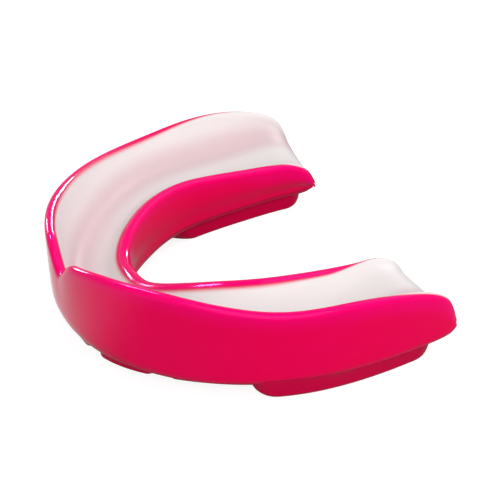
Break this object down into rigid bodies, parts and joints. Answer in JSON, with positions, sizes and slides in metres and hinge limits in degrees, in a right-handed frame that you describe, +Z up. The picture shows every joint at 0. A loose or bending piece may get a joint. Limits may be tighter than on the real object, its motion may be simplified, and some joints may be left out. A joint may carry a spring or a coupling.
{
  "type": "boil-and-bite mouthguard",
  "caption": "U-shaped sports mouthguard: a glossy outer shell with a tall notched flange and two molar pads, lined with a soft gel channel for the upper teeth.",
  "frame": {"origin": "centre of the bounding box's base, on the surface the molar pads stand on", "axes": "+X to the wearer's left cheek, -Y out of the mouth at the front teeth, +Z up into the upper teeth"},
  "size_m": [0.0636, 0.0521, 0.0188],
  "materials": {
    "shell_rubber": "glossy",
    "liner_gel": "satin"
  },
  "bodies": {
    "root": {"shell": "shell_rubber", "liner": "liner_gel"}
  },
  "joints": []
}
